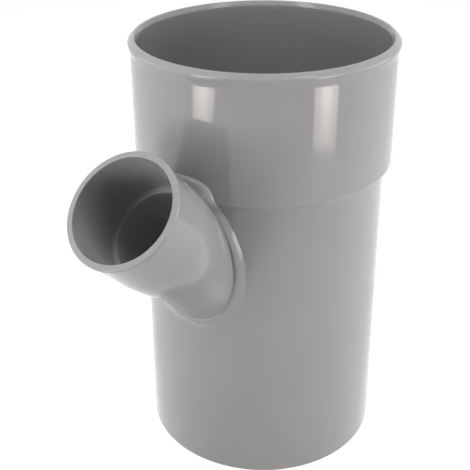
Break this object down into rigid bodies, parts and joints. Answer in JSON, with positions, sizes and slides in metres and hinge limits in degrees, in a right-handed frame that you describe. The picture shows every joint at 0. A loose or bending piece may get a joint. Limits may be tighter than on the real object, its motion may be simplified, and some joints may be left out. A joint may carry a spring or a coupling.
{
  "type": "pipe tee",
  "caption": "Plastic drainage pipe tee: a straight run with a socket on top and a spigot below, and a smaller socket on a 45 degree side branch.",
  "frame": {"origin": "centre of the spigot's end face, on the main run's axis", "axes": "+Z along the main run from the spigot to the socket; the branch leans towards -X"},
  "size_m": [0.1574, 0.1082, 0.18],
  "materials": {
    "grey_plastic": "gloss"
  },
  "bodies": {
    "root": {"pipe_tee": "grey_plastic"}
  },
  "joints": []
}
